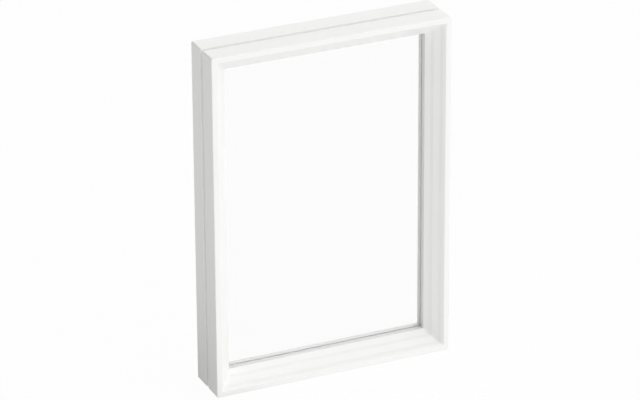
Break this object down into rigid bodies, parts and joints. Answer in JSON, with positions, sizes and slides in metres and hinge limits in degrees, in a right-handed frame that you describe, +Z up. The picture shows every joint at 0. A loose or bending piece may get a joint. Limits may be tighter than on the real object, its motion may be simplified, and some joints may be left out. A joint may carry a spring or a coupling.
{
  "type": "tabletop photo frame",
  "caption": "Free-standing white box frame for a portrait print seen from both sides, with clear panes held between two push-together halves.",
  "frame": {"origin": "middle of the base, on the parting line between the two halves", "axes": "+Z up the portrait height, +X to the right seen from the front, +Y from the front face to the back face"},
  "size_m": [0.1168, 0.023, 0.1668],
  "materials": {
    "white_plastic": "satin white polystyrene",
    "clear_pane": "polished clear polystyrene"
  },
  "bodies": {
    "front_frame": {"front_frame": "white_plastic"},
    "rear_frame": {"rear_frame": "white_plastic"},
    "front_pane": {"front_pane": "clear_pane"},
    "rear_pane": {"rear_pane": "clear_pane"}
  },
  "joints": [
    {"name": "rear_frame_pull", "type": "slide", "parent": "front_frame", "child": "rear_frame", "axis": [0, 1, 0], "range_m": [0, 0.06]},
    {"name": "rear_pane_lift", "type": "slide", "parent": "front_frame", "child": "rear_pane", "axis": [0, 1, 0], "range_m": [0, 0.04]},
    {"name": "front_pane_lift", "type": "slide", "parent": "front_frame", "child": "front_pane", "axis": [0, 1, 0], "range_m": [0, 0.02]}
  ],
  "couplings": [
    {"joint": "rear_pane_lift", "follows": "rear_frame_pull", "ratio": 0.6666},
    {"joint": "front_pane_lift", "follows": "rear_frame_pull", "ratio": 0.3333}
  ]
}
